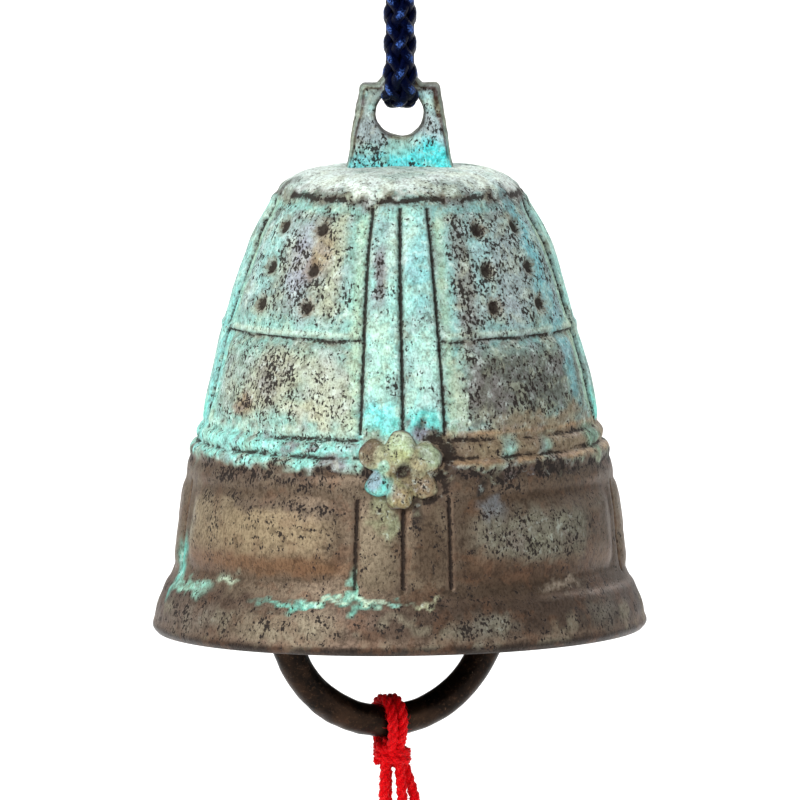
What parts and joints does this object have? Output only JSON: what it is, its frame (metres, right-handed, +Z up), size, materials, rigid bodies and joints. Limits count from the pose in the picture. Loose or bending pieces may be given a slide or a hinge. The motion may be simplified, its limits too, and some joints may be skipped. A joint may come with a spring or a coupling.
{
  "type": "hanging temple bell",
  "caption": "Small cast bronze hanging bell in temple-bell form, with an eyed lug on a braided cord loop, a ring clapper on a wire link and a knotted string below it.",
  "frame": {"origin": "centre of the hook or nail that the cord's loop hangs from, under the cord's knot", "axes": "+Z up along the hanging bell, -Y towards the front blossom, +X to the right"},
  "size_m": [0.0606, 0.0606, 0.1649],
  "materials": {
    "patinated_bronze": "cast, with grey-green patina above and brown below",
    "dark_bronze": "dark, satin",
    "bronze_wire": "drawn wire, tarnished",
    "navy_cord": "glossy round braid",
    "red_yarn": "twisted, slightly hairy"
  },
  "bodies": {
    "hanger": {"hanging_cord": "navy_cord", "cord_knot": "navy_cord", "cord_ends": "navy_cord"},
    "bell": {"bell": "patinated_bronze", "clapper_staple": "bronze_wire"},
    "link": {"clapper_link": "bronze_wire"},
    "ring": {"clapper_ring": "dark_bronze"},
    "string": {"string_loop": "red_yarn", "string_knot": "red_yarn", "string_tail_1": "red_yarn", "string_tail_2": "red_yarn", "string_tail_3": "red_yarn", "string_tail_4": "red_yarn", "string_end_knot": "red_yarn", "string_ends": "red_yarn"}
  },
  "joints": [
    {"name": "bell_swing", "type": "hinge", "parent": "hanger", "child": "bell", "pos_m": [0, 0, -0.02169], "axis": [0, 1, 0], "range_deg": [-35, 35]},
    {"name": "link_swing", "type": "hinge", "parent": "bell", "child": "link", "pos_m": [-0.0014, 0, -0.0362], "axis": [-0.4226, 0.9063, 0], "range_deg": [-9, 6]},
    {"name": "ring_swing", "type": "hinge", "parent": "link", "child": "ring", "pos_m": [-0.0014, 0, -0.06885], "axis": [0.9063, 0.4226, 0], "range_deg": [-25, 25]},
    {"name": "string_swing", "type": "hinge", "parent": "ring", "child": "string", "pos_m": [-0.0014, 0, -0.09745], "axis": [0.9063, 0.4226, 0], "range_deg": [-35, 35]}
  ]
}
